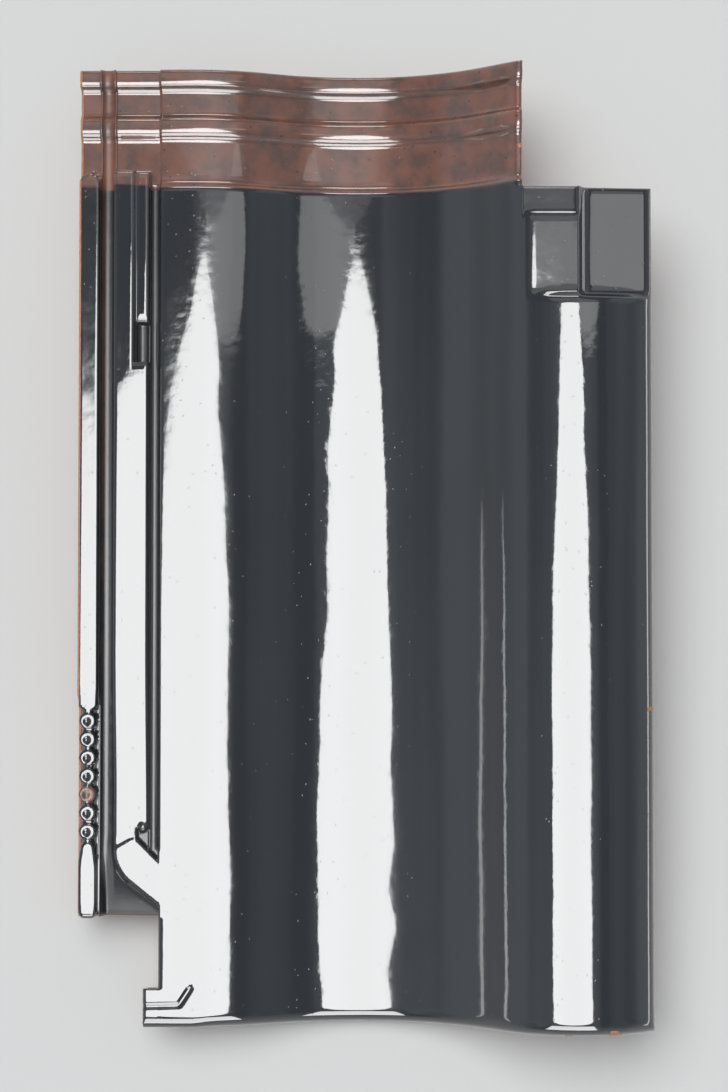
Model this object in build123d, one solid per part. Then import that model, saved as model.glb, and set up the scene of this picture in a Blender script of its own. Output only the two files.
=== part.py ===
from build123d import *
from math import acos, atan2, cos, degrees, radians, sin, sqrt
import os

# Interlocking clay pantile, one fired piece, in millimetres.
# The tile is drawn square to its own length first: X runs across it, Y from the foot to the head, Z up.
# It is then tipped about its foot edge until the nibs meet the floor.

# Widths, from the left edge to the flap at the right
OUTER_RIB_WIDTH = 9.5
WATER_GROOVE_WIDTH = 7.0
INNER_RIB_WIDTH = 16.0
THIN_GROOVE_WIDTH = 4.5
SHOULDER_RUN = 14.5
PAN_LEFT_RUN = 77.5
FLAP_RUN = 34.2
SHOULDER_COVER = 21.0
COVER_WIDTH = 204.0

# Lengths, measured from the foot edge
TILE_LENGTH = 440.0
HEAD_ZONE_LENGTH = 54.0
ROLL_HEAD_CUT = 57.0
ROLL_STEP_LENGTH = 50.0
LOCK_FOOT_CUT = 50.0
OUTLET_OFFSET = 5.5
OUTLET_LENGTH = 16.5
THIN_GROOVE_OFFSET = 31.0
LOCK_HEAD_MARGIN = 48.0
THIRD_RIB_LENGTH = 70.0
NOTCH_LENGTH = 18.0

# Heights and radii of the section
WALL = 12.0
ROLL_HEIGHT = 40.0
ROLL_RADIUS = 52.0
FLAP_RADIUS = 54.0
SHOULDER_HEIGHT = 16.0
SHOULDER_RADIUS = 88.0
LIP_CLEARANCE = 1.2
FLAP_EDGE_RADIUS = 2.5

# Side lock
GROOVE_DEPTH = 6.0
LOCK_WALL = 10.0
THIN_GROOVE_FLOOR = 2.0
OUTER_RIB_HEIGHT = 7.5
OUTER_RIB_ROUND = 1.5
INNER_RIB_HEIGHT = 13.0
INNER_RIB_ROUND = 2.5
INNER_RIB_RISE = 80.0
FLOOR_FALL = 4.5
FLOOR_FALL_LENGTH = 30.0
POCKET_WIDTH = 5.0
POCKET_LENGTH = 10.0
THIRD_RIB_WIDTH = 6.5
THIRD_RIB_DROP = 3.0
LOBE_LENGTH = 35.5
LOBE_ROUND = 2.2
BEAD_COUNT = 7
BEAD_PITCH = 8.4
BEAD_RADIUS = 3.9
BEAD_BAR_HEIGHT = 3.5
BEAD_BAR_WIDTH = 6.0

# Rib under the roll that hangs into the neighbour's water groove
HOOK_WIDTH = 5.0
HOOK_CLEARANCE = 3.0

# Foot
FOOT_ROUND = 5.5
LUG_REACH = 7.0
LUG_LENGTH = 18.0
LUG_THICKNESS = 4.6
LUG_ROUND = 3.0
CORNER_RECESS_LENGTH = 40.0
CORNER_RECESS_WALL = 6.0

# Head zone, lower than the pan, with two ribs across it
HEAD_ZONE_DROP = 3.5
CROSS_RIB_START = 24.0
CROSS_RIB_LENGTH = 8.0
CROSS_RIB_HEIGHT = 3.0
TOP_RIB_LENGTH = 9.0
TOP_RIB_HEIGHT = 5.5
HEAD_CORNER_INSET = 1.0

# Head of the roll, with two flat pads: a high one on the left and a low one that the next row's corner clears
PAD_HIGH_DROP = 5.0
PAD_STEP_WIDTH = 4.0
PAD_LOW_DROP = 10.6
PAD_LOW_FALL = 2.4
PAD_WALL = 4.9
PAD_LIP_LENGTH = 12.0
PAD_LIP_DROP = 2.0

# Nibs that hook over the batten
NIB_WIDTH = 24.0
NIB_LENGTH = 20.0
NIB_HEAD_MARGIN = 15.0
NIB_DEPTH = 15.0
NIB_SPACING = 66.0
NIB_ROUND = 3.0
NIB_BURY = 8.0

# Places that follow from the sizes above
LOCK_WIDTH = OUTER_RIB_WIDTH + WATER_GROOVE_WIDTH + INNER_RIB_WIDTH + THIN_GROOVE_WIDTH
TILE_WIDTH = COVER_WIDTH + LOCK_WIDTH + SHOULDER_COVER
SHOULDER_X = LOCK_WIDTH + SHOULDER_RUN
PAN_X = SHOULDER_X + PAN_LEFT_RUN
CREST_X = TILE_WIDTH - FLAP_RUN
PAN_Z = WALL
CREST_Z = PAN_Z + ROLL_HEIGHT
SHOULDER_Z = PAN_Z + SHOULDER_HEIGHT
GROOVE_Z = SHOULDER_Z - GROOVE_DEPTH
LOCK_UNDERSIDE_Z = GROOVE_Z - LOCK_WALL
THIN_GROOVE_Z = GROOVE_Z + THIN_GROOVE_FLOOR
SHOULDER_END_Z = SHOULDER_Z - SHOULDER_RADIUS + sqrt(SHOULDER_RADIUS ** 2 - SHOULDER_RUN ** 2)
LIP_Z = SHOULDER_Z + LIP_CLEARANCE
ROLL_END = TILE_LENGTH - ROLL_HEAD_CUT
ROLL_STEP = ROLL_END - ROLL_STEP_LENGTH
HEAD_LINE = TILE_LENGTH - HEAD_ZONE_LENGTH
HEAD_ZONE_CORNER = COVER_WIDTH - HEAD_CORNER_INSET
OUTLET_START = LOCK_FOOT_CUT + OUTLET_OFFSET
OUTLET_END = OUTLET_START + OUTLET_LENGTH
THIN_GROOVE_START = LOCK_FOOT_CUT + THIN_GROOVE_OFFSET
LOCK_RIB_END = TILE_LENGTH - LOCK_HEAD_MARGIN
THIRD_RIB_START = LOCK_RIB_END - THIRD_RIB_LENGTH
NOTCH_START = THIRD_RIB_START - NOTCH_LENGTH
NIB_START = TILE_LENGTH - NIB_HEAD_MARGIN - NIB_LENGTH
TIP = atan2(NIB_DEPTH, NIB_START + NIB_LENGTH / 2)
BIG = 2 * TILE_LENGTH
NEAR = 0.01


class ReverseCurve:
    """Two tangent arcs that rise from a hollow to a hump, each level at its own end."""

    def __init__(self, hollow_x, hollow_z, hump_x, hump_z, hump_radius):
        run = abs(hump_x - hollow_x)
        rise = hump_z - hollow_z
        both = (run * run + rise * rise) / (2 * rise)
        self.slope = 2 * atan2(rise, run)
        self.hollow_radius = both - hump_radius
        self.hump_radius = hump_radius
        self.hollow_centre = (hollow_x, hollow_z + self.hollow_radius)
        self.hump_centre = (hump_x, hump_z - hump_radius)


def spot(x, z, y=0.0):
    """A point of the cross-section, in the plane at one place along the tile."""
    return Vector(x, y, z)


def on_circle(centre, radius, angle, up=True):
    """A point on a circle, with the angle taken from the vertical and positive to the right."""
    height = radius * cos(angle) if up else -radius * cos(angle)
    return spot(centre[0] + radius * sin(angle), centre[1] + height)


def arc(centre, radius, start, end, up=True):
    """The arc between two angles of on_circle."""
    middle = (start + end) / 2
    return ThreePointArc(
        on_circle(centre, radius, start, up),
        on_circle(centre, radius, middle, up),
        on_circle(centre, radius, end, up),
    )


def chain(points):
    """Straight edges through a list of points."""
    return [Line(a, b) for a, b in zip(points, points[1:])]


def face_of(edges):
    """The flat face inside a closed run of edges."""
    return Face(Wire(edges))


def along(face, start, end):
    """A face of the cross-section carried along the tile."""
    return extrude(face.moved(Location((0, start, 0))), amount=end - start, dir=(0, 1, 0))


def block(x0, x1, y0, y1, z0, z1):
    """A box between two corners."""
    centre = ((x0 + x1) / 2, (y0 + y1) / 2, (z0 + z1) / 2)
    return Pos(*centre) * Box(x1 - x0, y1 - y0, z1 - z0)


def above_slope(x0, x1, low, high):
    """The space above a plane that rises along the tile, from one (Y, Z) place to another."""
    over = CREST_Z + ROLL_HEIGHT
    low_y, low_z = low
    high_y, high_z = high
    side = face_of(chain([
        Vector(x0, low_y, low_z),
        Vector(x0, high_y, high_z),
        Vector(x0, high_y, over),
        Vector(x0, low_y, over),
        Vector(x0, low_y, low_z),
    ]))
    return extrude(side, amount=x1 - x0, dir=(1, 0, 0))


LEFT = ReverseCurve(PAN_X, PAN_Z, SHOULDER_X, SHOULDER_Z, SHOULDER_RADIUS)
RIGHT = ReverseCurve(PAN_X, PAN_Z, CREST_X, CREST_Z, ROLL_RADIUS)
FLAP_CENTRE = (CREST_X, CREST_Z - FLAP_RADIUS)


def flap_angle(radius, x):
    """Where a circle about the flap's centre reaches a place across the tile."""
    offset = x - FLAP_CENTRE[0]
    return atan2(offset, sqrt(radius * radius - offset * offset))


def top_edges(left_x, right_x):
    """The weather surface from the shoulder's left end to the flap."""
    start = -atan2(SHOULDER_X - left_x, sqrt(SHOULDER_RADIUS ** 2 - (SHOULDER_X - left_x) ** 2))
    return [
        arc(LEFT.hump_centre, LEFT.hump_radius, start, LEFT.slope),
        arc(LEFT.hollow_centre, LEFT.hollow_radius, -LEFT.slope, 0, up=False),
        arc(RIGHT.hollow_centre, RIGHT.hollow_radius, 0, RIGHT.slope, up=False),
        arc(RIGHT.hump_centre, RIGHT.hump_radius, -RIGHT.slope, 0),
        arc(FLAP_CENTRE, FLAP_RADIUS, 0, flap_angle(FLAP_RADIUS, right_x)),
    ]


def underside_edges():
    """The underside from the lip under the flap back to the shoulder, one wall below the top."""
    under_flap = FLAP_RADIUS - WALL
    lip_angle = atan2(sqrt(under_flap ** 2 - (LIP_Z - FLAP_CENTRE[1]) ** 2), LIP_Z - FLAP_CENTRE[1])
    return [
        arc(FLAP_CENTRE, under_flap, lip_angle, 0),
        arc(RIGHT.hump_centre, RIGHT.hump_radius - WALL, 0, -RIGHT.slope),
        arc(RIGHT.hollow_centre, RIGHT.hollow_radius + WALL, RIGHT.slope, 0, up=False),
        arc(LEFT.hollow_centre, LEFT.hollow_radius + WALL, 0, -LEFT.slope, up=False),
        arc(LEFT.hump_centre, LEFT.hump_radius - WALL, LEFT.slope, 0),
    ]


def body_section():
    """The full section of shoulder, pan, roll and flap, with the flap's edge rounded."""
    top = top_edges(LOCK_WIDTH, TILE_WIDTH)
    under = underside_edges()
    edge = chain([top[-1] @ 1, spot(TILE_WIDTH, LIP_Z), under[0] @ 0])
    left = chain([under[-1] @ 1, spot(LOCK_WIDTH, LOCK_UNDERSIDE_Z), top[0] @ 0])
    face = face_of(top + edge + under + left)
    corners = [corner for corner in face.vertices() if corner.X > TILE_WIDTH - NEAR]
    return face.fillet_2d(FLAP_EDGE_RADIUS, corners)


def cut_above(edges, drop):
    """The space above a run of the weather surface lowered by a drop, as a face."""
    lowered = [edge.moved(Location((0, 0, -drop))) for edge in edges]
    left = lowered[0] @ 0
    right = lowered[-1] @ 1
    over = CREST_Z + ROLL_HEIGHT
    return face_of(lowered + chain([right, spot(right.X, over), spot(left.X, over), left]))


def shell():
    """Shoulder, pan, roll and flap over the whole length, with the foot's upper edge rounded."""
    body = along(body_section(), 0, TILE_LENGTH)
    marks = [edge @ 0.5 for edge in top_edges(LOCK_WIDTH, TILE_WIDTH)[:4]]
    rim = [edge for edge in body.edges() if min(((edge @ 0.5) - mark).length for mark in marks) < NEAR]
    body = fillet(rim, FOOT_ROUND)
    recess_x = LOCK_WIDTH + SHOULDER_COVER
    recess_z = SHOULDER_Z - CORNER_RECESS_WALL
    return body - block(LOCK_WIDTH, recess_x, 0, CORNER_RECESS_LENGTH, 0, recess_z)


def roll_head_section():
    """The section right of the pan's lowest line at the roll's head: a high flat pad, a slope down to a
    low one, and a level underside."""
    under_left = RIGHT.hollow_radius + WALL
    under_roll = RIGHT.hump_radius - WALL
    low_under_z = CREST_Z - PAD_LOW_DROP - PAD_WALL
    high_z = CREST_Z - PAD_HIGH_DROP
    low_z = CREST_Z - PAD_LOW_DROP
    high_end = CREST_X
    low_x = high_end + PAD_STEP_WIDTH
    lip_x = low_x + INNER_RIB_WIDTH
    turn = acos((low_under_z - RIGHT.hump_centre[1]) / under_roll)
    high_turn = acos((high_z - RIGHT.hump_centre[1]) / ROLL_RADIUS)
    under = [
        arc(RIGHT.hollow_centre, under_left, 0, RIGHT.slope, up=False),
        arc(RIGHT.hump_centre, under_roll, -RIGHT.slope, -turn),
    ]
    flank = [
        arc(RIGHT.hump_centre, ROLL_RADIUS, -high_turn, -RIGHT.slope),
        arc(RIGHT.hollow_centre, RIGHT.hollow_radius, RIGHT.slope, 0, up=False),
    ]
    face = face_of(under + chain([
        under[-1] @ 1,
        spot(low_x, low_under_z),
        spot(lip_x, LIP_Z),
        spot(TILE_WIDTH, LIP_Z),
        spot(TILE_WIDTH, low_z - PAD_LOW_FALL),
        spot(low_x, low_z),
        spot(high_end, high_z),
        flank[0] @ 0,
    ]) + flank + chain([flank[-1] @ 1, under[0] @ 0]))
    corners = [corner for corner in face.vertices() if corner.X > TILE_WIDTH - NEAR]
    return face.fillet_2d(FLAP_EDGE_RADIUS, corners)


def roll_head():
    """The head of the roll, with a lower lip beyond the high pad."""
    piece = along(roll_head_section(), ROLL_STEP, ROLL_END)
    piece -= block(0, HEAD_ZONE_CORNER, ROLL_STEP, ROLL_END, -BIG, BIG)
    lip_z = CREST_Z - PAD_HIGH_DROP - PAD_LIP_DROP
    return piece - block(HEAD_ZONE_CORNER, CREST_X, ROLL_END - PAD_LIP_LENGTH, ROLL_END, lip_z, CREST_Z)


def head_ribs():
    """The two ribs across the head zone, the upper one along the head edge."""
    ribs = []
    for start, length, height in [
        (HEAD_LINE + CROSS_RIB_START, CROSS_RIB_LENGTH, CROSS_RIB_HEIGHT),
        (TILE_LENGTH - TOP_RIB_LENGTH, TOP_RIB_LENGTH, TOP_RIB_HEIGHT),
    ]:
        edges = top_edges(LOCK_WIDTH, TILE_WIDTH)
        filled = along(cut_above(edges, HEAD_ZONE_DROP + WALL / 4), start, start + length)
        open_above = along(cut_above(edges, HEAD_ZONE_DROP - height), start, start + length)
        inside = block(LOCK_WIDTH, HEAD_ZONE_CORNER, start, start + length, 0, BIG)
        ribs.append((filled - open_above) & inside)
        ribs.append(block(0, LOCK_WIDTH, start, start + length, GROOVE_Z - LOCK_WALL / 2, GROOVE_Z + height))
    return ribs


def rib_section(left_x, width, height, round_radius):
    """An upright rib on the side lock, with its two upper corners rounded."""
    right_x = left_x + width
    floor = GROOVE_Z - LOCK_WALL / 2
    top = GROOVE_Z + height
    turn = round_radius * (1 - cos(radians(45)))
    left_arc = ThreePointArc(
        spot(left_x, top - round_radius),
        spot(left_x + turn, top - turn),
        spot(left_x + round_radius, top),
    )
    right_arc = ThreePointArc(
        spot(right_x - round_radius, top),
        spot(right_x - turn, top - turn),
        spot(right_x, top - round_radius),
    )
    edges = chain([spot(left_x, floor), spot(left_x, top - round_radius)]) + [left_arc]
    edges += chain([spot(left_x + round_radius, top), spot(right_x - round_radius, top)]) + [right_arc]
    edges += chain([spot(right_x, top - round_radius), spot(right_x, floor), spot(left_x, floor)])
    return face_of(edges)


def outlet_wall():
    """The slanting wall that turns the water groove's flow out under the inner rib's foot."""
    inner_x = OUTER_RIB_WIDTH + WATER_GROOVE_WIDTH
    plan = Polyline(
        (inner_x, OUTLET_END),
        (LOCK_WIDTH, OUTLET_START),
        (LOCK_WIDTH, THIN_GROOVE_START),
        (inner_x, THIN_GROOVE_START),
        close=True,
    )
    base = make_face(plan).moved(Location((0, 0, LOCK_UNDERSIDE_Z)))
    return extrude(base, amount=SHOULDER_END_Z - LOCK_UNDERSIDE_Z, dir=(0, 0, 1))


def groove_pocket(thin_x):
    """The pocket at the thin groove's foot, which hooks round the end of the inner rib."""
    pocket_x = thin_x - POCKET_WIDTH
    plan = Polyline(
        (thin_x, THIN_GROOVE_START),
        (pocket_x, THIN_GROOVE_START + POCKET_WIDTH),
        (pocket_x, THIN_GROOVE_START + POCKET_LENGTH),
        (thin_x, THIN_GROOVE_START + POCKET_LENGTH),
        close=True,
    )
    base = make_face(plan).moved(Location((0, 0, THIN_GROOVE_Z)))
    return extrude(base, amount=INNER_RIB_HEIGHT, dir=(0, 0, 1))


def side_lock():
    """The side lock's floor, its ribs, the lobe and beads at its foot and the slanting outlet."""
    inner_x = OUTER_RIB_WIDTH + WATER_GROOVE_WIDTH
    thin_x = inner_x + INNER_RIB_WIDTH
    middle = OUTER_RIB_WIDTH / 2
    lobe_end = LOCK_FOOT_CUT + LOBE_LENGTH
    beads_end = lobe_end + BEAD_COUNT * BEAD_PITCH
    floor = block(0, LOCK_WIDTH, LOCK_FOOT_CUT, TILE_LENGTH, LOCK_UNDERSIDE_Z, GROOVE_Z)
    fall_low = (LOCK_FOOT_CUT, GROOVE_Z - FLOOR_FALL)
    fall_high = (LOCK_FOOT_CUT + FLOOR_FALL_LENGTH, GROOVE_Z)
    pieces = [floor - above_slope(OUTER_RIB_WIDTH, LOCK_WIDTH, fall_low, fall_high)]
    pieces.append(block(thin_x, LOCK_WIDTH, THIN_GROOVE_START, HEAD_LINE, LOCK_UNDERSIDE_Z, THIN_GROOVE_Z))
    outer = rib_section(0, OUTER_RIB_WIDTH, OUTER_RIB_HEIGHT, OUTER_RIB_ROUND)
    pieces.append(along(outer, beads_end, LOCK_RIB_END))
    inner = rib_section(inner_x, INNER_RIB_WIDTH, INNER_RIB_HEIGHT, INNER_RIB_ROUND)
    rise_low = (THIN_GROOVE_START, SHOULDER_END_Z)
    rise_high = (THIN_GROOVE_START + INNER_RIB_RISE, GROOVE_Z + INNER_RIB_HEIGHT)
    inner_rib = along(inner, THIN_GROOVE_START, LOCK_RIB_END)
    inner_rib -= above_slope(inner_x, thin_x, rise_low, rise_high)
    third_x = thin_x - THIRD_RIB_WIDTH
    third_z = GROOVE_Z + INNER_RIB_HEIGHT - THIRD_RIB_DROP
    inner_rib -= block(third_x, thin_x, NOTCH_START, THIRD_RIB_START, THIN_GROOVE_Z, BIG)
    inner_rib -= block(third_x, thin_x, THIRD_RIB_START, LOCK_RIB_END, third_z, BIG)
    pieces.append(inner_rib - groove_pocket(thin_x))
    lobe_height = LOCK_WALL / 2 + OUTER_RIB_HEIGHT
    lobe = extrude(SlotOverall(LOBE_LENGTH, OUTER_RIB_WIDTH, rotation=90), amount=lobe_height)
    lobe = fillet(lobe.edges().group_by(Axis.Z)[-1], LOBE_ROUND)
    pieces.append(Pos(middle, LOCK_FOOT_CUT + LOBE_LENGTH / 2, GROOVE_Z - LOCK_WALL / 2) * lobe)
    bar_x = middle - BEAD_BAR_WIDTH / 2
    bar_start = lobe_end - BEAD_PITCH
    bar_floor = GROOVE_Z - LOCK_WALL / 2
    bar_top = GROOVE_Z + BEAD_BAR_HEIGHT
    pieces.append(block(bar_x, bar_x + BEAD_BAR_WIDTH, bar_start, beads_end, bar_floor, bar_top))
    for index in range(BEAD_COUNT):
        y = lobe_end + (index + 0.5) * BEAD_PITCH
        pieces.append(Pos(middle, y, GROOVE_Z + OUTER_RIB_HEIGHT - BEAD_RADIUS) * Sphere(BEAD_RADIUS))
    pieces.append(outlet_wall())
    return pieces


def hook_rib():
    """The rib under the roll, over the middle of the neighbour's water groove."""
    middle = COVER_WIDTH + OUTER_RIB_WIDTH + WATER_GROOVE_WIDTH / 2
    bottom = GROOVE_Z + HOOK_CLEARANCE
    top = CREST_Z - WALL
    return block(middle - HOOK_WIDTH / 2, middle + HOOK_WIDTH / 2, LOCK_FOOT_CUT, ROLL_END, bottom, top)


def foot_lug():
    """The small lug at the foot's left corner."""
    lug_floor = SHOULDER_END_Z - LUG_THICKNESS
    lug = block(LOCK_WIDTH - LUG_REACH, LOCK_WIDTH, 0, LUG_LENGTH, lug_floor, SHOULDER_END_Z)
    return fillet(lug.edges().filter_by(Axis.Z).group_by(Axis.X)[0], LUG_ROUND)


def nibs():
    """The two nibs near the head, drawn longer than they are: the floor cuts them off later."""
    found = []
    for side in (-1, 1):
        x = PAN_X + side * NIB_SPACING / 2
        nib_end = NIB_START + NIB_LENGTH
        nib = block(x - NIB_WIDTH / 2, x + NIB_WIDTH / 2, NIB_START, nib_end, -2 * NIB_DEPTH, NIB_BURY)
        found.append(fillet(nib.edges().filter_by(Axis.Z), NIB_ROUND))
    return found


def tile():
    """The whole tile, lying on its foot edge and nibs, centred over its own box."""
    body = shell()
    body -= block(HEAD_ZONE_CORNER, BIG, ROLL_STEP, BIG, -BIG, BIG)
    edges = top_edges(LOCK_WIDTH, TILE_WIDTH)
    body -= along(cut_above(edges, HEAD_ZONE_DROP), HEAD_LINE, TILE_LENGTH)
    for piece in [roll_head(), hook_rib(), foot_lug()] + side_lock() + head_ribs() + nibs():
        body += piece
    body = Rot(X=degrees(TIP)) * body
    body -= block(-BIG, BIG, -BIG, BIG, -BIG, 0)
    box = body.bounding_box()
    centre = box.center()
    return Pos(-centre.X, -centre.Y, -box.min.Z) * body


def main():
    os.makedirs("parts", exist_ok=True)
    whole = tile()
    print("solids", len(whole.solids()), "volume", whole.volume, "valid", whole.is_valid)
    print("box", whole.bounding_box(), "centre", whole.center(CenterOf.MASS))
    export_step(whole, "parts/roof_tile.step")


main()
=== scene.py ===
from math import atan2, cos, pi, radians, sin, tan

import bpy
import numpy as np
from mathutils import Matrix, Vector


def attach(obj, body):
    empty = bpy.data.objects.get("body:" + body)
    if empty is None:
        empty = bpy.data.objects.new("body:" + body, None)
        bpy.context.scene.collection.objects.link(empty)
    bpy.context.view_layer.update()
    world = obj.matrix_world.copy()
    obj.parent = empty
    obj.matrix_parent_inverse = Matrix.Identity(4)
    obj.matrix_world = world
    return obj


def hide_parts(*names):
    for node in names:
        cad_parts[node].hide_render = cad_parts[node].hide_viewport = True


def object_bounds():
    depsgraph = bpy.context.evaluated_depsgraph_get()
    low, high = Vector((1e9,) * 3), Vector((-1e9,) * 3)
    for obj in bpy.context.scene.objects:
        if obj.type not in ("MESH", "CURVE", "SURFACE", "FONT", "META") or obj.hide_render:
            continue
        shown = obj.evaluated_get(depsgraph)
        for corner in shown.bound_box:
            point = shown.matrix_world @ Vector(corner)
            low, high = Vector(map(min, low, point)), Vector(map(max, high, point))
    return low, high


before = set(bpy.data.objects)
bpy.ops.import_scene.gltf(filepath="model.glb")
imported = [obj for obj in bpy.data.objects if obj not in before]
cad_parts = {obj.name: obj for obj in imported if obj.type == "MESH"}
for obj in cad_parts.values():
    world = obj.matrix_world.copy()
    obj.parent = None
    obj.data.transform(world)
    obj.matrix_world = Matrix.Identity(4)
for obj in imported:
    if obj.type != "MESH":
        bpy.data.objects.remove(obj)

# The tile is worked out in millimetres, square to its own length, as the solid is: x across from the
# left edge, v along from the foot edge and z up. place() then tips it and puts it where the solid lies.

LOW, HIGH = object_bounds()
MM = 0.001

# Widths and places across
OUTER_RIB = 9.5
WATER_GROOVE = 7.0
INNER_RIB = 16.0
THIN_GROOVE = 4.5
THIRD_RIB = 6.5
INNER_X = OUTER_RIB + WATER_GROOVE
THIN_X = INNER_X + INNER_RIB
THIRD_X = THIN_X - THIRD_RIB
LOCK = THIN_X + THIN_GROOVE
LUG = 7.0
COVERED = LOCK + 21.0  # the neighbour's flap reaches to here
SHOULDER_X = LOCK + 14.5
PAN_X = SHOULDER_X + 77.5
TILE_WIDTH = (HIGH[0] - LOW[0]) / MM
CREST_X = TILE_WIDTH - 34.2
HEAD_CORNER_X = 203.0
PAD_SLOPE = 4.0
PAD_UNDER_SLOPE = 16.0
HOOK_X = CREST_X - 10.8
HOOK_HALF = 2.55

# Places along, from the foot edge
TILE_LENGTH = 440.0
ROLL_END = 383.0
ROLL_STEP = 333.0
HEAD_LINE = 386.0
CROSS_RIB = (HEAD_LINE + 23.0, HEAD_LINE + 33.0)
TOP_RIB = (TILE_LENGTH - 9.0, TILE_LENGTH + 30.0)
LUG_END = 18.0
RECESS_END = 40.0
LOCK_FOOT = 50.0
LOCK_RIB_END = 392.0
OUTLET_LOW = 55.5
OUTLET_HIGH = 72.0
THIN_GROOVE_START = 81.0
POCKET_END = THIN_GROOVE_START + 10.0
NOTCH_LOW = 304.0
NOTCH_HIGH = 322.0

# Beads in the outer rib, between the lobe and the rib's foot
BEADS = 7
BEAD_PITCH = 8.4
BEAD_RADIUS = 4.1
DIMPLE_DEPTH = 0.9
LOBE_END = LOCK_FOOT + 35.5
LOBE_HALF = 4.6
LOBE_HEAD_TAPER = 1.5
LOBE_FOOT_TAPER = 0.5
LOBE_ROUND = 3.0
BEADS_END = LOBE_END + BEADS * BEAD_PITCH
WORN_BEAD = LOBE_END + 2.5 * BEAD_PITCH

# Heights above the underside of the pan's lowest line
WALL = 12.0
PAN_Z = WALL
SHOULDER_Z = PAN_Z + 16.0
CREST_Z = PAN_Z + 40.0
GROOVE_Z = SHOULDER_Z - 6.0
LOCK_UNDERSIDE = GROOVE_Z - 10.0
LIP_Z = SHOULDER_Z + 1.2
PAD_HIGH_Z = CREST_Z - 5.0
PAD_LOW_Z = CREST_Z - 10.6
PAD_FALL = 2.4
PAD_UNDERSIDE = PAD_LOW_Z - 4.9
PAD_LIP_Z = PAD_HIGH_Z - 2.0
HOOK_Z = GROOVE_Z + 3.0
RECESS_Z = SHOULDER_Z - 6.0
HEAD_DROP = 3.5
CROSS_RIB_HEIGHT = 3.2
TOP_RIB_HEIGHT = 5.5
SHOULDER_RADIUS = 88.0
ROLL_RADIUS = 52.0
FLAP_RADIUS = 54.0

# Heights above the side lock's floor, and small shapes there
OUTER_RIB_HEIGHT = 7.5
BEAD_BAR_HEIGHT = 4.0
INNER_RIB_HEIGHT = 13.0
THIRD_RIB_HEIGHT = 10.0
GROOVE_FLOOR = 2.0
FLOOR_RAMP = 0.12
FLOOR_FALL = 5.0
CHANNEL_FILLET = 3.2
THIN_GROOVE_ROUND = 2.6
NOTCH_ROUND = 3.6
OUTLET_CORNER = 7.0
POCKET_WIDTH = 5.0
KNOB = (THIN_X - 2.6, POCKET_END + 0.6)
KNOB_RADIUS = 2.4

# Creases: the places that each runs through
FOOT_CREASE = [(LOCK - LUG - 5, 10), (LOCK + 9.5, 10.5), (LOCK + 14.5, 18)]
OUTLET_CREASE = [
    (INNER_X, THIN_GROOVE_START + 2),
    (THIN_X - 9, THIN_GROOVE_START + 6),
    (THIN_X - 5, THIN_GROOVE_START + 7),
]

# Rounded edges
CROSS_RIB_EDGE = 3.1
TOP_RIB_EDGE = 3.0
OUTER_RIB_EDGE = 1.1
BEAD_BAR_EDGE = 1.2
LOBE_EDGE = 1.6
INNER_RIB_EDGE = 1.3
THIRD_RIB_EDGE = 1.5
SHOULDER_EDGE = 0.9
FOOT_EDGE = 7.0
LOCK_FOOT_EDGE = 2.5
RIGHT_EDGE = 2.6
HEAD_EDGE = 2.2
CUT_EDGE = 1.8
UNDER_EDGE = 0.8
NIB_EDGE = 2.4
NIB_CORNER = 3.0

# Nibs, and the tip of the tile that they cause
NIB_START = 405.0
NIB_LENGTH = 20.0
NIB_WIDTH = 24.0
NIB_SPACING = 66.0
NIB_DEPTH = 15.0
FLOOR_CLEARANCE = 0.02
TIP = atan2(NIB_DEPTH, NIB_START + NIB_LENGTH / 2)

# Small chips in the glaze: place across, place along, size
CHIPS = [(243.0, 1.0, 4.2), (222.5, 0.4, 2.2), (201.5, 402.0, 2.4), (260.5, 146.0, 2.2)]

# Waviness of the pressed surface, and single low ripples: place across, place along, size, height
WAVE_HEIGHT = 0.11
RIPPLES = [
    (147, 24, 8, 0.19), (153, 45, 7, -0.16), (146, 63, 7, 0.17), (152, 84, 8, -0.11),
    (150, 118, 12, 0.12), (106, 190, 18, 0.12), (148, 236, 14, -0.10), (62, 128, 12, 0.08),
    (66, 290, 14, -0.09), (222, 170, 16, 0.08), (233, 92, 12, -0.07), (232, 262, 14, 0.08),
    (118, 322, 12, 0.09),
]


def smooth(value, start, end):
    """0 before start, 1 after end, and an S-shaped rise between them."""
    share = np.clip((value - start) / (end - start), 0, 1)
    return share * share * (3 - 2 * share)


def round_part(radius, offset):
    """Height of a circle above its centre, at an offset from it."""
    return np.sqrt(np.maximum(radius * radius - offset * offset, 0))


def trough(offset, radius):
    """Height of a round hollow above its lowest line, at an offset from that line."""
    return radius - round_part(radius, offset)


def edge_drop(distance, radius):
    """How far a rounded edge falls away at a distance from the outline."""
    return trough(np.clip(radius - distance, 0, radius), radius)


def reverse_curve(x, hollow, hump, hump_radius, wall):
    """Two tangent arcs from a hollow up to a hump, lowered square to themselves by a wall."""
    run = abs(hump[0] - hollow[0])
    rise = hump[1] - hollow[1]
    both = (run * run + rise * rise) / (2 * rise)
    slope = 2 * atan2(rise, run)
    hollow_radius = both - hump_radius
    distance = np.abs(x - hollow[0])
    low = hollow[1] + hollow_radius - round_part(hollow_radius + wall, distance)
    high = hump[1] - hump_radius + round_part(hump_radius - wall, run - distance)
    return np.where(distance < (hollow_radius + wall) * sin(slope), low, high)


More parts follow.
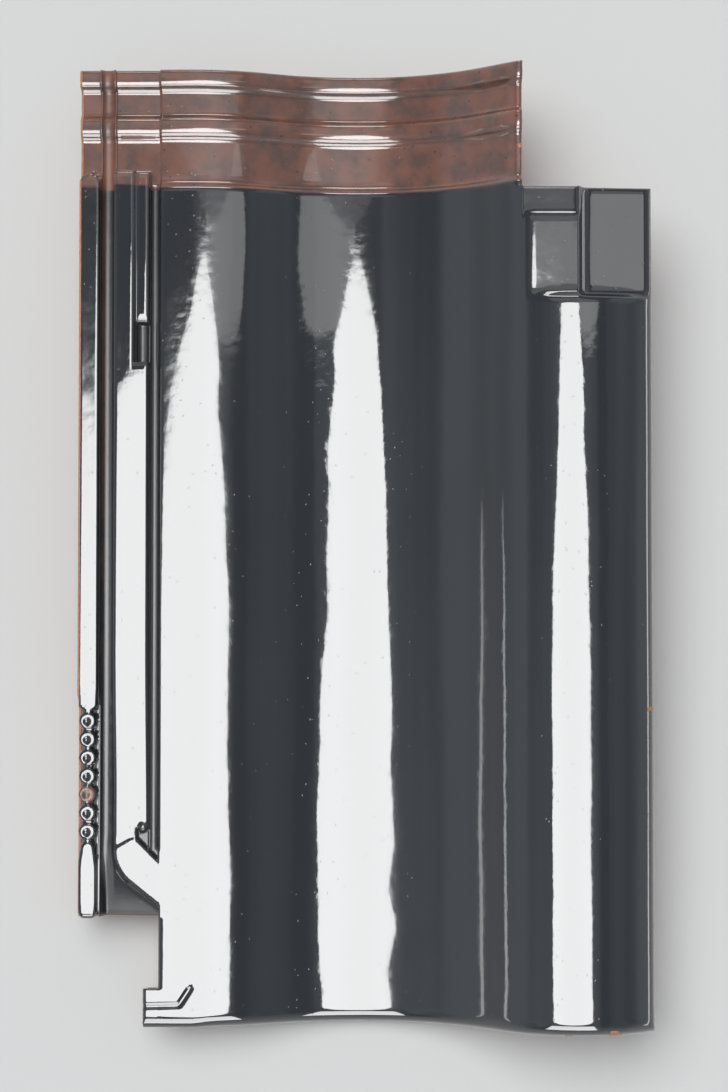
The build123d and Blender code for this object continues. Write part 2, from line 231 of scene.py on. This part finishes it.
def sharp_section(x, wall):
    """The section of tangent arcs: the weather surface, or the underside a wall below it."""
    left = reverse_curve(x, (PAN_X, PAN_Z), (SHOULDER_X, SHOULDER_Z), SHOULDER_RADIUS, wall)
    right = reverse_curve(x, (PAN_X, PAN_Z), (CREST_X, CREST_Z), ROLL_RADIUS, wall)
    shoulder = SHOULDER_Z - SHOULDER_RADIUS + round_part(SHOULDER_RADIUS - wall, x - SHOULDER_X)
    flap = CREST_Z - FLAP_RADIUS + round_part(FLAP_RADIUS - wall, x - CREST_X)
    height = np.where(x < PAN_X, left, right)
    height = np.where(x < SHOULDER_X, shoulder, height)
    return np.where(x > CREST_X, flap, height)


def section(x, wall=0.0):
    """The section with its changes of curvature eased, as pressed clay has them."""
    return sum(sharp_section(x + offset, wall) for offset in (-5, -2.5, 0, 2.5, 5)) / 5


SHOULDER_LIFT = 0.9
SHOULDER_END_Z = float(section(np.array(LOCK))) + SHOULDER_LIFT
CREST_FLATTENING = 0.22
CREST_FLAT_WIDTH = 12.0


def bar(x, v, x_range, v_range, corner, height, edge):
    """Height of a raised bar with round corners in plan and rounded upper edges; 0 beside it."""
    middle_x = (x_range[0] + x_range[1]) / 2
    middle_v = (v_range[0] + v_range[1]) / 2
    past_x = np.maximum(np.abs(x - middle_x) - (x_range[1] - x_range[0]) / 2 + corner, 0)
    past_v = np.maximum(np.abs(v - middle_v) - (v_range[1] - v_range[0]) / 2 + corner, 0)
    inside = corner - np.hypot(past_x, past_v)
    return np.where(inside >= 0, height - edge_drop(inside, edge), 0)


def line_distance(x, v, start, end):
    """Distance to a straight line between two places."""
    run = (end[0] - start[0], end[1] - start[1])
    share = ((x - start[0]) * run[0] + (v - start[1]) * run[1]) / (run[0] ** 2 + run[1] ** 2)
    share = np.clip(share, 0, 1)
    return np.hypot(x - start[0] - share * run[0], v - start[1] - share * run[1])


def crease(x, v, places, depth, width):
    """Depth of a soft groove along a bent line through some places."""
    lines = [line_distance(x, v, start, end) for start, end in zip(places, places[1:])]
    return depth * np.exp(-(np.minimum.reduce(lines) / width) ** 2)


def outer_rib(x, v):
    """The outer rib, the spindle-shaped lobe at its foot and the dimpled beads between them."""
    middle = OUTER_RIB / 2
    rib = bar(x, v, (0, OUTER_RIB), (BEADS_END, LOCK_RIB_END), 4.3, OUTER_RIB_HEIGHT, OUTER_RIB_EDGE)
    bar_x = (1.5, OUTER_RIB - 1.5)
    bar_v = (LOBE_END - 5, BEADS_END + 5)
    bead_bar = bar(x, v, bar_x, bar_v, 2.9, BEAD_BAR_HEIGHT, BEAD_BAR_EDGE)
    head_taper = LOBE_HEAD_TAPER * smooth(v, LOBE_END - 14, LOBE_END + 1)
    foot_taper = LOBE_FOOT_TAPER * smooth(LOCK_FOOT + 8 - v, 0, 8)
    past_end = np.maximum(v - LOBE_END + LOBE_ROUND, LOCK_FOOT + LOBE_ROUND - v)
    inside = LOBE_HALF - head_taper - foot_taper - np.hypot(np.maximum(past_end, 0), x - middle)
    in_lobe = (inside > 0) & (v < LOBE_END + 1)
    lobe = np.where(in_lobe, OUTER_RIB_HEIGHT - edge_drop(inside, LOBE_EDGE), 0)
    rise = np.maximum.reduce([rib, bead_bar, lobe])
    for index in range(BEADS):
        centre = LOBE_END + (index + 0.5) * BEAD_PITCH
        inside = BEAD_RADIUS - np.hypot(x - middle, v - centre)
        bead = OUTER_RIB_HEIGHT - edge_drop(inside, OUTER_RIB_EDGE)
        from_dimple = np.hypot(x - middle + 0.5, v - centre + 0.5)
        bead = bead - DIMPLE_DEPTH * (1 - smooth(from_dimple, 0.4, 1.9))
        if abs(centre - WORN_BEAD) < 1:
            bead = bead - 0.6 - 0.22 * (x - middle) + 0.15 * (v - centre)
        rise = np.maximum(rise, np.where(inside > 0, bead, 0))
    return rise


def past_pocket(x, v):
    """Distance beyond the pocket at the thin groove's foot; below 0 inside it."""
    past_slope = (THIN_X - x - v + THIN_GROOVE_START) / np.sqrt(2)
    return np.maximum.reduce([v - POCKET_END, THIN_X - POCKET_WIDTH - x, past_slope])


def inside_outlet_wall(x, v):
    """Distance inside the slanting wall that the inner rib and the outlet share; below 0 in the channel."""
    slant = (OUTLET_HIGH - OUTLET_LOW) / (LOCK - INNER_X)
    past_wall = (v - OUTLET_LOW - (LOCK - x) * slant) / np.hypot(1, slant)
    short_v = np.clip(OUTLET_CORNER - past_wall, 0, None)
    short_x = np.clip(OUTLET_CORNER - (x - INNER_X), 0, None)
    return OUTLET_CORNER - np.hypot(short_v, short_x)


def low_lock(x, v):
    """The outer rib, the third rib and the floors of the thin groove, the notch and the pocket."""
    in_groove = (x > THIN_X) & (v > THIN_GROOVE_START) & (v < HEAD_LINE)
    groove_floor = GROOVE_FLOOR + trough(x - THIN_X - THIN_GROOVE / 2, THIN_GROOVE_ROUND)
    in_notch = (x > THIRD_X) & (x <= THIN_X) & (v > NOTCH_LOW) & (v < NOTCH_HIGH)
    notch_floor = GROOVE_FLOOR + trough(x - THIN_X + THIRD_RIB / 2, NOTCH_ROUND)
    inside = np.minimum.reduce([x - THIRD_X, THIN_X - x, v - NOTCH_HIGH, LOCK_RIB_END - v])
    third_rib = THIRD_RIB_HEIGHT - edge_drop(inside, THIRD_RIB_EDGE)
    return np.maximum.reduce([
        outer_rib(x, v),
        np.where(in_groove, groove_floor, 0),
        np.where(in_notch, notch_floor, 0),
        np.where(inside > 0, third_rib, 0),
        np.where(past_pocket(x, v) < 0, GROOVE_FLOOR, 0),
    ])


def lock_top(x, v):
    """The side lock's floor, its ribs and grooves, and the slanting outlet at its foot."""
    wall = inside_outlet_wall(x, v)
    in_channel = (x > OUTER_RIB) & (wall < 0)
    fillets = np.maximum(edge_drop(x - OUTER_RIB, CHANNEL_FILLET), edge_drop(-wall, CHANNEL_FILLET))
    rise = np.maximum(low_lock(x, v), np.where(in_channel, fillets, 0))
    ramp = FLOOR_RAMP * np.clip(x - OUTER_RIB, 0, None) * smooth(OUTLET_HIGH + 20 - v, 0, 20)
    fall = FLOOR_FALL * smooth(LOCK_FOOT + 32 - v, 0, 30)
    rise = rise + np.where(in_channel, (ramp - fall) * smooth(x, OUTER_RIB, OUTER_RIB + 3), 0)
    past_groove = np.maximum(THIN_X - x, THIN_GROOVE_START - v)
    past_notch = np.maximum(THIRD_X - x, NOTCH_LOW - v)
    inside = np.minimum.reduce([wall, past_groove, past_pocket(x, v), past_notch, LOCK_RIB_END - v])
    foot_height = SHOULDER_END_Z - GROOVE_Z
    climb = smooth(v, THIN_GROOVE_START + 8, THIN_GROOVE_START + 95)
    ridge = foot_height + (INNER_RIB_HEIGHT - foot_height) * climb - edge_drop(inside, INNER_RIB_EDGE)
    ridge = ridge - crease(x, v, OUTLET_CREASE, 0.45, 1.3)
    rise = np.where(inside > 0, np.maximum(rise, ridge), rise)
    away = np.hypot(x - KNOB[0], v - KNOB[1])
    knob = foot_height - 0.8 + round_part(KNOB_RADIUS, away) * 0.7
    rise = np.where(away < KNOB_RADIUS, np.maximum(rise, knob), rise)
    return GROOVE_Z + rise


def roll_head_top(x):
    """The two pads at the roll's head: a high level one, and a low one beyond a short slope."""
    places = [CREST_X, CREST_X + PAD_SLOPE, TILE_WIDTH]
    low_pad = np.interp(x, places, [PAD_HIGH_Z, PAD_LOW_Z, PAD_LOW_Z - PAD_FALL])
    return np.where(x < CREST_X, np.minimum(section(x), PAD_HIGH_Z), low_pad)


def outline_distances(x, v):
    """Distance to the foot, the right side, the head and the left side of the outline."""
    over_lug = (x >= LOCK - LUG) & (v < LOCK_FOOT)
    foot = np.where((x < LOCK) & ~over_lug, v - LOCK_FOOT, v)
    right = np.where(v > ROLL_END, HEAD_CORNER_X - x, TILE_WIDTH - x)
    head = np.where(x > HEAD_CORNER_X, ROLL_END - v, TILE_LENGTH - v)
    cut = np.where(v < LUG_END, x - LOCK + LUG, x - LOCK)
    left = np.where(v < LOCK_FOOT, cut, x)
    return foot, right, head, left


def surface_waves(x, v):
    """Low waves and ripples of the pressed surface, which break up the gloss."""
    wave = np.sin(x / 17 + 1.3 * np.sin(v / 61)) * np.sin(v / 39 + 0.9 * np.sin(x / 31))
    wave = wave + 0.5 * np.sin(x / 7.3 + v / 28) * np.sin(v / 13.7 - x / 21)
    height = WAVE_HEIGHT * wave
    for ripple_x, ripple_v, size, depth in RIPPLES:
        height = height + depth * np.exp(-((x - ripple_x) ** 2 + (v - ripple_v) ** 2) / (size * size))
    return height


def top_drop(x, v):
    """How far the rounded edges of the weather side fall away."""
    foot, right, head, left = outline_distances(x, v)
    thin = 1 - 0.35 * (1 - smooth(x, LOCK + 14, LOCK + 28))
    at_lock = (x < LOCK) & (v >= LOCK_FOOT)
    return np.maximum.reduce([
        np.where(at_lock, edge_drop(foot, LOCK_FOOT_EDGE), thin * edge_drop(foot, FOOT_EDGE)),
        edge_drop(right, RIGHT_EDGE),
        edge_drop(head, HEAD_EDGE),
        np.where(v < LOCK_FOOT, edge_drop(left, CUT_EDGE), 0),
    ])


def top_height(x, v):
    """The whole weather side."""
    lift = np.clip((SHOULDER_X - x) / (SHOULDER_X - LOCK), 0, 1) ** 2
    pan = section(x) + SHOULDER_LIFT * lift
    pan = pan - CREST_FLATTENING * np.exp(-((x - CREST_X) / CREST_FLAT_WIDTH) ** 2)
    past_sides = (-50, HEAD_CORNER_X + 50)
    across = bar(x, v, past_sides, CROSS_RIB, 4.5, CROSS_RIB_HEIGHT, CROSS_RIB_EDGE)
    across = across + bar(x, v, past_sides, TOP_RIB, TOP_RIB_EDGE, TOP_RIB_HEIGHT, TOP_RIB_EDGE)
    height = pan - HEAD_DROP * smooth(v, HEAD_LINE - 1.5, HEAD_LINE + 3.5) + across
    height = np.where((x < LOCK) & (v < LUG_END + 0.5), SHOULDER_END_Z, height)
    height = height - crease(x, v, FOOT_CREASE, 0.9, 1.0)
    height = np.where((x < LOCK) & (v >= LOCK_FOOT), lock_top(x, v) + across, height)
    at_wall = (v > OUTLET_LOW) & (v < THIN_GROOVE_START)
    beside_lock = (x >= LOCK) & (v > LOCK_FOOT) & (v < HEAD_LINE) & ~at_wall
    height = height - np.where(beside_lock, edge_drop(x - LOCK, SHOULDER_EDGE), 0)
    pads = roll_head_top(x)
    lip = smooth(v, ROLL_END - 15, ROLL_END - 10) * (1 - smooth(x, CREST_X - 0.6, CREST_X + 0.6))
    pads = pads - lip * np.clip(pads - PAD_LIP_Z, 0, None)
    at_roll = (x > HEAD_CORNER_X) & (v <= ROLL_END)
    step = smooth(v, ROLL_STEP - 1.5, ROLL_STEP + 1.5)
    height = np.where(at_roll, height + step * (pads - pan), height)
    return height + surface_waves(x, v) - top_drop(x, v)


def under_height(x, v):
    """The underside, with the hook rib, the nibs and the recess under the foot's left corner."""
    height = section(x, WALL)
    height = np.where(x > CREST_X, np.maximum(height, LIP_Z), height)
    lock_under = np.interp(x, [LOCK, SHOULDER_X], [LOCK_UNDERSIDE, SHOULDER_Z - WALL])
    height = np.where(x < SHOULDER_X, lock_under, height)
    slope_x = CREST_X + PAD_SLOPE
    low_pad_under = np.interp(x, [slope_x, slope_x + PAD_UNDER_SLOPE], [PAD_UNDERSIDE, LIP_Z])
    pads_under = np.where(x < CREST_X, np.minimum(height, PAD_UNDERSIDE), low_pad_under)
    height = np.where((x > HEAD_CORNER_X) & (v > ROLL_STEP), pads_under, height)
    in_recess = (x < COVERED) & (v < RECESS_END)
    height = np.where(in_recess, np.maximum(height, RECESS_Z), height)
    in_hook = (np.abs(x - HOOK_X) < HOOK_HALF) & (v > LOCK_FOOT - 0.1) & (v <= ROLL_END)
    height = np.where(in_hook, HOOK_Z, height)
    for side in (-1, 1):
        middle = PAN_X + side * NIB_SPACING / 2
        nib_x = (middle - NIB_WIDTH / 2, middle + NIB_WIDTH / 2)
        nib_v = (NIB_START, NIB_START + NIB_LENGTH)
        depth = height + v * tan(TIP) - FLOOR_CLEARANCE
        height = height - bar(x, v, nib_x, nib_v, NIB_CORNER, depth, NIB_EDGE)
    nearest = np.minimum.reduce(outline_distances(x, v))
    return height + edge_drop(nearest, UNDER_EDGE)


def grid_lines(end, steps, marks, reach):
    """Places of the mesh's lines: even steps in each stretch, and close pairs about each mark."""
    lines = []
    for start, stop, step in steps:
        lines.append(np.linspace(start, stop, max(2, round((stop - start) / step) + 1)))
    places = np.unique(np.concatenate(lines).round(3))
    close = []
    for mark in marks:
        close += [mark - reach, mark - 0.15, mark + 0.15, mark + reach]
    close = np.array([place for place in close if 0 < place < end])
    far = np.min(np.abs(places[:, None] - close[None, :]), axis=1) > 0.3
    return np.unique(np.concatenate([places[far], close, [0.0, end]]).round(3))


def place(x, v, z):
    """Tile places in millimetres as points of the frame in metres."""
    start_y = HIGH[1] / MM - TILE_LENGTH * cos(TIP)
    return np.stack([
        LOW[0] + x * MM,
        (v * cos(TIP) - z * sin(TIP) + start_y) * MM,
        (v * sin(TIP) + z * cos(TIP)) * MM,
    ], axis=-1)


def worn_bead(x, v):
    """1 on the bead whose glaze is worn away."""
    return 1 - smooth(np.hypot(x - OUTER_RIB / 2, v - WORN_BEAD), 3, 4.5)


def brown_mask(x, v):
    """Where the glaze ran thin and shows brown: head, rims, worn bead and, lightly, the side lock."""
    head = smooth(v, HEAD_LINE - 3, HEAD_LINE + 2) * (1 - smooth(x, HEAD_CORNER_X + 2, HEAD_CORNER_X + 6))
    lock = 0.33 * (1 - smooth(x, OUTER_RIB, INNER_X)) * smooth(v, LOCK_FOOT, 300)
    nearest = np.minimum.reduce(outline_distances(x, v))
    rim = 0.5 * (1 - smooth(nearest, 0.2, 2.2))
    return np.maximum.reduce([head, lock, rim, worn_bead(x, v)])


def dull_mask(x, v):
    """Thin, dusty glaze on the lock's floor, in its channel, groove, notch and pocket."""
    channel = smooth(x, OUTER_RIB - 0.4, OUTER_RIB + 0.8) * (1 - smooth(x, INNER_X - 0.8, INNER_X + 0.4))
    groove = smooth(x, THIN_X - 0.3, THIN_X + 0.7) * (1 - smooth(x, LOCK - 0.7, LOCK + 0.3))
    groove = groove * (v > THIN_GROOVE_START) * (v < HEAD_LINE)
    beside = (x > THIRD_X) & (x < LOCK)
    notch = beside & (v > NOTCH_LOW - 1) & (v < NOTCH_HIGH + 1)
    pocket = beside & (v > THIN_GROOVE_START + LOCK - x - 4) & (v < POCKET_END + 0.5)
    floor = 1 - smooth(v, OUTLET_LOW - 1, OUTLET_LOW + 1 + (LOCK - x) * 0.8)
    floor = floor * (x > OUTER_RIB) * (x < LOCK)
    return np.maximum.reduce([channel, groove, notch, pocket, floor, worn_bead(x, v)]) * (v > LOCK_FOOT)


def bare_mask(x, v, is_under):
    """Bare clay: the underside, the outer side of the lock and the chips."""
    nearest = np.minimum.reduce(outline_distances(x, v))
    lock_side = (x < 1.2) & (v > LOCK_FOOT)
    bare = np.maximum(is_under * smooth(nearest, 0.5, 3.0), np.where(lock_side, 0.9, 0))
    for chip_x, chip_v, size in CHIPS:
        away = np.hypot(x - chip_x, 1.6 * (v - chip_v))
        bare = np.maximum(bare, 0.85 * (1 - smooth(away, 0.55 * size, size)))
    return bare


def add_mask(mesh, name, values):
    attribute = mesh.attributes.new(name, "FLOAT", "POINT")
    attribute.data.foreach_set("value", values.astype(np.float32))


def tile_grid():
    """Places of the mesh's lines across and along, closest where the shape is finest."""
    nibs = [PAN_X + side * NIB_SPACING / 2 + edge * NIB_WIDTH / 2 for side in (-1, 1) for edge in (-1, 1)]
    hook = [HOOK_X - HOOK_HALF, HOOK_X + HOOK_HALF]
    columns = grid_lines(
        TILE_WIDTH,
        [
            (0, LOCK, 0.62), (LOCK, COVERED, 1.1),
            (COVERED, HEAD_CORNER_X, 3.3), (HEAD_CORNER_X, TILE_WIDTH, 2.0),
        ],
        [0, OUTER_RIB, INNER_X, THIN_X, LOCK - LUG, LOCK, COVERED, HEAD_CORNER_X, CREST_X, TILE_WIDTH]
        + nibs + hook,
        0.7,
    )
    rows = grid_lines(
        TILE_LENGTH,
        [
            (0, 19, 0.8), (19, LOCK_FOOT, 2.6), (LOCK_FOOT, BEADS_END + 3, 0.88),
            (BEADS_END + 3, 300, 5.0), (300, 336, 1.9), (336, 366, 3.2), (366, 404, 1.5),
            (404, TILE_LENGTH, 1.35),
        ],
        [
            0, LUG_END, RECESS_END, LOCK_FOOT, NOTCH_LOW, NOTCH_HIGH, ROLL_END,
            NIB_START, NIB_START + NIB_LENGTH, TILE_LENGTH,
        ],
        0.7,
    )
    return columns, rows


def skin_faces(kept, number, under):
    """Faces of the kept cells above and, numbered further by under, below, and of the walls round them."""
    i, j = np.nonzero(kept)
    top = np.stack([number[i, j], number[i + 1, j], number[i + 1, j + 1], number[i, j + 1]], axis=1)
    faces = [top, top[:, ::-1] + under]
    padded = np.pad(kept, 1)
    for step_i, step_j, first, second in [
        (0, -1, (0, 0), (1, 0)), (1, 0, (1, 0), (1, 1)), (0, 1, (1, 1), (0, 1)), (-1, 0, (0, 1), (0, 0)),
    ]:
        beside = padded[1 + step_i:padded.shape[0] - 1 + step_i, 1 + step_j:padded.shape[1] - 1 + step_j]
        i, j = np.nonzero(kept & ~beside)
        a = number[i + first[0], j + first[1]]
        b = number[i + second[0], j + second[1]]
        faces.append(np.stack([a, a + under, b + under, b], axis=1))
    return np.concatenate(faces)


def tile_mesh():
    """The tile's skin: a weather side and an underside on one grid, joined round the outline."""
    columns, rows = tile_grid()
    x, v = np.meshgrid(columns, rows, indexing="ij")
    heights = [top_height(x, v), under_height(x, v)]
    points = np.concatenate([place(x, v, height).reshape(-1, 3) for height in heights])
    cell_x, cell_v = np.meshgrid(
        (columns[:-1] + columns[1:]) / 2, (rows[:-1] + rows[1:]) / 2, indexing="ij"
    )
    kept = np.minimum.reduce(outline_distances(cell_x, cell_v)) > 0
    faces = skin_faces(kept, np.arange(x.size).reshape(x.shape), x.size)
    used, faces = np.unique(faces, return_inverse=True)
    mesh = bpy.data.meshes.new("tile_skin")
    mesh.from_pydata(points[used].tolist(), [], faces.reshape(-1, 4).tolist())
    flat_x = np.tile(x.ravel(), 2)[used]
    flat_v = np.tile(v.ravel(), 2)[used]
    is_under = (used >= x.size).astype(float)
    add_mask(mesh, "brown", brown_mask(flat_x, flat_v))
    add_mask(mesh, "dull", dull_mask(flat_x, flat_v))
    add_mask(mesh, "bare", bare_mask(flat_x, flat_v, is_under))
    mesh.validate()
    mesh.shade_smooth()
    return mesh


class Nodes:
    """Short calls for the nodes of a material or of the world."""

    def __init__(self, owner):
        owner.use_nodes = True
        self.tree = owner.node_tree

    def node(self, kind, **settings):
        node = self.tree.nodes.new(kind)
        for name, value in settings.items():
            setattr(node, name, value)
        return node

    def put(self, socket, value):
        if isinstance(value, bpy.types.NodeSocket):
            self.tree.links.new(value, socket)
        else:
            socket.default_value = value

    def mask(self, name):
        return self.node("ShaderNodeAttribute", attribute_name=name).outputs["Fac"]

    def position(self, stretch=(1, 1, 1), source="Object"):
        coordinates = self.node("ShaderNodeTexCoord").outputs[source]
        mapping = self.node("ShaderNodeMapping")
        self.put(mapping.inputs["Vector"], coordinates)
        mapping.inputs["Scale"].default_value = stretch
        return mapping.outputs["Vector"]

    def noise(self, scale, detail=2.0, stretch=(1, 1, 1), roughness=0.5, source="Object"):
        noise = self.node("ShaderNodeTexNoise")
        self.put(noise.inputs["Vector"], self.position(stretch, source))
        noise.inputs["Scale"].default_value = scale
        noise.inputs["Detail"].default_value = detail
        noise.inputs["Roughness"].default_value = roughness
        return noise.outputs["Fac"]

    def math(self, operation, first, second=0.0, third=0.0):
        node = self.node("ShaderNodeMath", operation=operation)
        self.put(node.inputs[0], first)
        self.put(node.inputs[1], second)
        self.put(node.inputs[2], third)
        return node.outputs[0]

    def ramp(self, value, start, end, low=0.0, high=1.0):
        node = self.node("ShaderNodeMapRange", interpolation_type="SMOOTHSTEP")
        self.put(node.inputs["Value"], value)
        node.inputs["From Min"].default_value = start
        node.inputs["From Max"].default_value = end
        node.inputs["To Min"].default_value = low
        node.inputs["To Max"].default_value = high
        return node.outputs["Result"]

    def mix(self, share, first, second):
        node = self.node("ShaderNodeMix", data_type="RGBA")
        self.put(node.inputs[0], share)
        self.put(node.inputs[6], first)
        self.put(node.inputs[7], second)
        return node.outputs[2]

    def specks(self, scale, radius):
        """1 inside small scattered spots and 0 between them."""
        cells = self.node("ShaderNodeTexVoronoi", feature="F1")
        self.put(cells.inputs["Vector"], self.position())
        cells.inputs["Scale"].default_value = scale
        return self.ramp(cells.outputs["Distance"], radius, radius * 0.4)


def glaze_material():
    """Black glaze over red clay: brown where it ran thin, and bare clay where there is none."""
    material = bpy.data.materials.new("black_glaze_on_red_clay")
    nodes = Nodes(material)
    shader = material.node_tree.nodes["Principled BSDF"]
    cloud = nodes.noise(14, 3)
    mottle = nodes.noise(95, 4, roughness=0.6)
    streak = nodes.noise(60, 3, stretch=(1, 0.05, 0.3))
    grain = nodes.noise(700, 4, roughness=0.65)
    spots = nodes.specks(160, 0.13)
    dull = nodes.mask("dull")

    brown = nodes.math("MULTIPLY_ADD", mottle, 0.5, nodes.mask("brown"))
    brown = nodes.math("MULTIPLY_ADD", dull, 0.2, brown)
    brown = nodes.ramp(brown, 0.55, 0.95)
    bare = nodes.math("MULTIPLY_ADD", nodes.noise(330, 3), 0.6, nodes.mask("bare"))
    bare = nodes.ramp(bare, 0.72, 0.9)

    black = nodes.mix(cloud, (0.011, 0.0125, 0.015, 1), (0.018, 0.020, 0.023, 1))
    red_brown = nodes.mix(nodes.ramp(mottle, 0.35, 0.68), (0.19, 0.074, 0.046, 1), (0.10, 0.054, 0.043, 1))
    red_brown = nodes.mix(nodes.math("MULTIPLY", spots, 0.7), red_brown, (0.03, 0.02, 0.018, 1))
    glaze = nodes.mix(brown, black, red_brown)
    clay = nodes.mix(nodes.ramp(grain, 0.3, 0.7), (0.43, 0.165, 0.085, 1), (0.56, 0.25, 0.14, 1))
    clay = nodes.mix(nodes.ramp(cloud, 0.35, 0.7, 0, 0.35), clay, (0.36, 0.15, 0.09, 1))
    nodes.put(shader.inputs["Base Color"], nodes.mix(bare, glaze, clay))

    gloss = nodes.ramp(streak, 0.3, 0.75, 0.045, 0.10)
    gloss = nodes.math("MULTIPLY_ADD", brown, 0.08, gloss)
    gloss = nodes.math("MULTIPLY_ADD", dull, 0.26, gloss)
    rough = nodes.math("MULTIPLY_ADD", bare, 0.75, gloss)
    nodes.put(shader.inputs["Roughness"], rough)
    shader.inputs["IOR"].default_value = 1.6
    uncoated = nodes.math("MULTIPLY_ADD", dull, 0.85, bare)
    nodes.put(shader.inputs["Coat Weight"], nodes.math("SUBTRACT", 1.0, uncoated))
    shader.inputs["Coat Roughness"].default_value = 0.03

    relief = nodes.math("MULTIPLY_ADD", nodes.noise(240, 2), 0.25, nodes.noise(75, 2))
    relief = nodes.math("MULTIPLY_ADD", nodes.specks(210, 0.11), -0.5, relief)
    relief = nodes.math("MULTIPLY_ADD", nodes.math("MULTIPLY", bare, grain), 2.0, relief)
    bump = nodes.node("ShaderNodeBump")
    bump.inputs["Strength"].default_value = 0.35
    bump.inputs["Distance"].default_value = 0.0003
    nodes.put(bump.inputs["Height"], relief)
    nodes.put(shader.inputs["Normal"], bump.outputs["Normal"])
    return material


def add_panel(name, place_at, aim, sizes, brightness, shape="RECTANGLE"):
    """A soft studio panel of an even brightness, hidden from the camera and seen only as gloss."""
    lamp = bpy.data.lights.new(name, "AREA")
    lamp.shape = shape
    lamp.size, lamp.size_y = sizes
    area = sizes[0] * sizes[1] * (pi / 4 if shape == "ELLIPSE" else 1)
    lamp.energy = brightness * pi * area
    holder = bpy.data.objects.new(name, lamp)
    holder.location = place_at
    holder.rotation_euler = (Vector(aim) - Vector(place_at)).to_track_quat("-Z", "Y").to_euler()
    holder.visible_camera = False
    holder.visible_diffuse = False
    bpy.context.scene.collection.objects.link(holder)


def add_lights():
    """One soft key light, and the panels whose reflections run along the tile."""
    key = bpy.data.lights.new("key", "SUN")
    key.energy = 2.3
    key.angle = radians(50)
    holder = bpy.data.objects.new("key", key)
    holder.rotation_euler = (radians(-18), radians(-14), 0)
    holder.visible_glossy = False
    bpy.context.scene.collection.objects.link(holder)
    add_panel("long_panel", (0, -0.4, 1.5), (0, -0.4, 0), (0.97, 1.45), 8.8, shape="ELLIPSE")
    add_panel("head_panel", (0.1, 0.85, 1.5), (0.1, 0.85, 0), (1.3, 1.0), 0.5, shape="ELLIPSE")
    add_panel("pad_panel", (0.4, 0.36, 1.5), (0.4, 0.36, 0), (0.75, 0.28), 1.35, shape="ELLIPSE")
    add_panel("far_head_panel", (0, 1.6, 0.75), (0, 0.2, 0.03), (0.6, 0.3), 6)
    add_panel("foot_panel", (0, -1.5, 0.9), (0, -0.2, 0), (1.0, 0.9), 7)
    add_panel("right_panel", (1.5, -0.15, 0.1), (0, -0.15, 0.05), (2.2, 0.14), 3)
    add_panel("left_panel", (-1.5, -0.45, 0.5), (0, -0.45, 0.03), (1.1, 0.05), 2.5, shape="ELLIPSE")


def add_camera():
    """Looks down on the tile, leaning a little toward its head."""
    centre = Vector(((LOW[0] + HIGH[0]) / 2, (LOW[1] + HIGH[1]) / 2, HIGH[2] / 2))
    camera = bpy.data.cameras.new("camera")
    camera.sensor_fit = "VERTICAL"
    camera.sensor_height = 36
    camera.lens = 74
    holder = bpy.data.objects.new("camera", camera)
    holder.location = centre + Vector((0, -0.072, 1.03))
    holder.rotation_euler = (radians(4), 0, 0)
    bpy.context.scene.collection.objects.link(holder)
    bpy.context.scene.camera = holder


def add_floor():
    """A plain pale floor."""
    bpy.ops.mesh.primitive_plane_add(size=60, location=(0, 0, 0))
    floor = bpy.context.object
    floor.name = "floor"
    material = bpy.data.materials.new("pale_floor")
    material.use_nodes = True
    shader = material.node_tree.nodes["Principled BSDF"]
    shader.inputs["Base Color"].default_value = (0.70, 0.70, 0.69, 1)
    shader.inputs["Roughness"].default_value = 1.0
    shader.inputs["Specular IOR Level"].default_value = 0.0
    floor.data.materials.append(material)


def set_world():
    """Dim even light, and a pale backdrop where the camera or a reflection sees it near the horizon."""
    world = bpy.data.worlds.new("studio")
    bpy.context.scene.world = world
    nodes = Nodes(world)
    background = world.node_tree.nodes["Background"]
    background.inputs["Strength"].default_value = 1.0
    path = nodes.node("ShaderNodeLightPath")
    seen = path.outputs["Is Camera Ray"]
    for name in ("Is Glossy Ray", "Is Transmission Ray"):
        seen = nodes.math("MAXIMUM", seen, path.outputs[name])
    direction = nodes.node("ShaderNodeSeparateXYZ")
    nodes.put(direction.inputs[0], nodes.node("ShaderNodeTexCoord").outputs["Generated"])
    climb = nodes.ramp(direction.outputs["Z"], 0.02, 0.34)
    clouds = nodes.noise(3.2, 1.5, stretch=(1, 0.2, 0.4), source="Generated")
    overhead = nodes.mix(nodes.ramp(clouds, 0.38, 0.68), (0.23, 0.25, 0.275, 1), (0.52, 0.56, 0.61, 1))
    backdrop = nodes.mix(climb, (0.686, 0.70, 0.70, 1), overhead)
    nodes.put(background.inputs["Color"], nodes.mix(seen, (0.30, 0.32, 0.34, 1), backdrop))


def main():
    tile = bpy.data.objects.new("fired_tile", tile_mesh())
    bpy.context.scene.collection.objects.link(tile)
    tile.data.materials.append(glaze_material())
    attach(tile, "root")
    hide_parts("roof_tile")
    add_floor()
    set_world()
    add_camera()
    add_lights()
    bpy.context.scene.view_settings.view_transform = "Standard"
    print("tile triangles", 2 * len(tile.data.polygons))


main()
